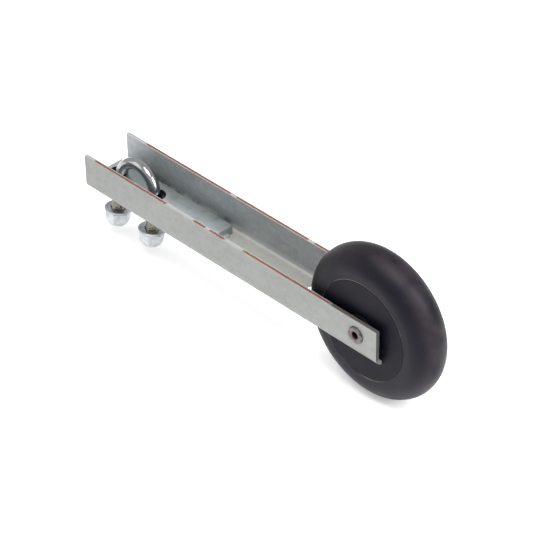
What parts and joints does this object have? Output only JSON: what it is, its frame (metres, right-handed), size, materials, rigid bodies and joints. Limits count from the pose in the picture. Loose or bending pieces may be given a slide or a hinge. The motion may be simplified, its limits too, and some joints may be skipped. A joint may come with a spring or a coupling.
{
  "type": "gate wheel",
  "caption": "Folded channel bracket with a crowned solid wheel in its forked end and a U-bolt clamp with washers and lock nuts at its plain end.",
  "frame": {"origin": "underside of the channel's web, midway between the two U-bolt legs, where the gate's rail lies", "axes": "+X along the channel towards the wheel, +Y across it along the wheel's axle, +Z out of the channel's open side"},
  "size_m": [0.3845, 0.0534, 0.133],
  "materials": {
    "galvanised_sheet": "matt galvanised sheet with rusty cut edges",
    "galvanised_bar": "glossy galvanised flat bar",
    "weld_metal": "satin weld bead",
    "bright_zinc": "bright zinc plating",
    "washer_zinc": "satin zinc plating",
    "nut_zinc": "light satin zinc plating",
    "nylon": "natural nylon",
    "black_rubber": "smooth satin black rubber",
    "black_core": "satin black moulding",
    "bush_plastic": "self-lubricating plastic",
    "axle_steel": "satin steel with a warm tint"
  },
  "bodies": {
    "bracket": {"channel_bracket": "galvanised_sheet", "stiffening_bar": "galvanised_bar", "weld_end": "weld_metal", "weld_near": "weld_metal", "weld_far": "weld_metal", "spacer_near": "black_core", "spacer_far": "black_core", "axle": "axle_steel"},
    "wheel": {"tyre": "black_rubber", "wheel_core": "black_core", "bush_near": "bush_plastic", "bush_far": "bush_plastic"},
    "clamp": {"u_bolt": "bright_zinc"},
    "left_washer": {"washer_left": "washer_zinc"},
    "left_nut": {"nut_left": "nut_zinc", "nut_insert_left": "nylon"},
    "right_washer": {"washer_right": "washer_zinc"},
    "right_nut": {"nut_right": "nut_zinc", "nut_insert_right": "nylon"}
  },
  "joints": [
    {"name": "wheel_spin", "type": "hinge", "parent": "bracket", "child": "wheel", "pos_m": [0.2815, 0, 0.02], "axis": [0, 1, 0], "continuous": true},
    {"name": "clamp_lift", "type": "slide", "parent": "bracket", "child": "clamp", "axis": [0, 0.1349, 0.9909], "range_m": [0, 0.0095]},
    {"name": "left_nut_run", "type": "slide", "parent": "clamp", "child": "left_washer", "axis": [0, 0.1349, 0.9909], "range_m": [0, 0.0095]},
    {"name": "left_nut_turn", "type": "hinge", "parent": "left_washer", "child": "left_nut", "pos_m": [-0.0215, 0, 0.0057], "axis": [0, 0.1349, 0.9909], "range_deg": [0, 1960]},
    {"name": "right_nut_run", "type": "slide", "parent": "clamp", "child": "right_washer", "axis": [0, 0.1349, 0.9909], "range_m": [0, 0.0095]},
    {"name": "right_nut_turn", "type": "hinge", "parent": "right_washer", "child": "right_nut", "pos_m": [0.0215, 0, 0.0057], "axis": [0, 0.1349, 0.9909], "range_deg": [0, 1960]}
  ],
  "couplings": [
    {"joint": "left_nut_turn", "follows": "left_nut_run", "rad_per_m": 3590.4},
    {"joint": "right_nut_turn", "follows": "right_nut_run", "rad_per_m": 3590.4}
  ]
}
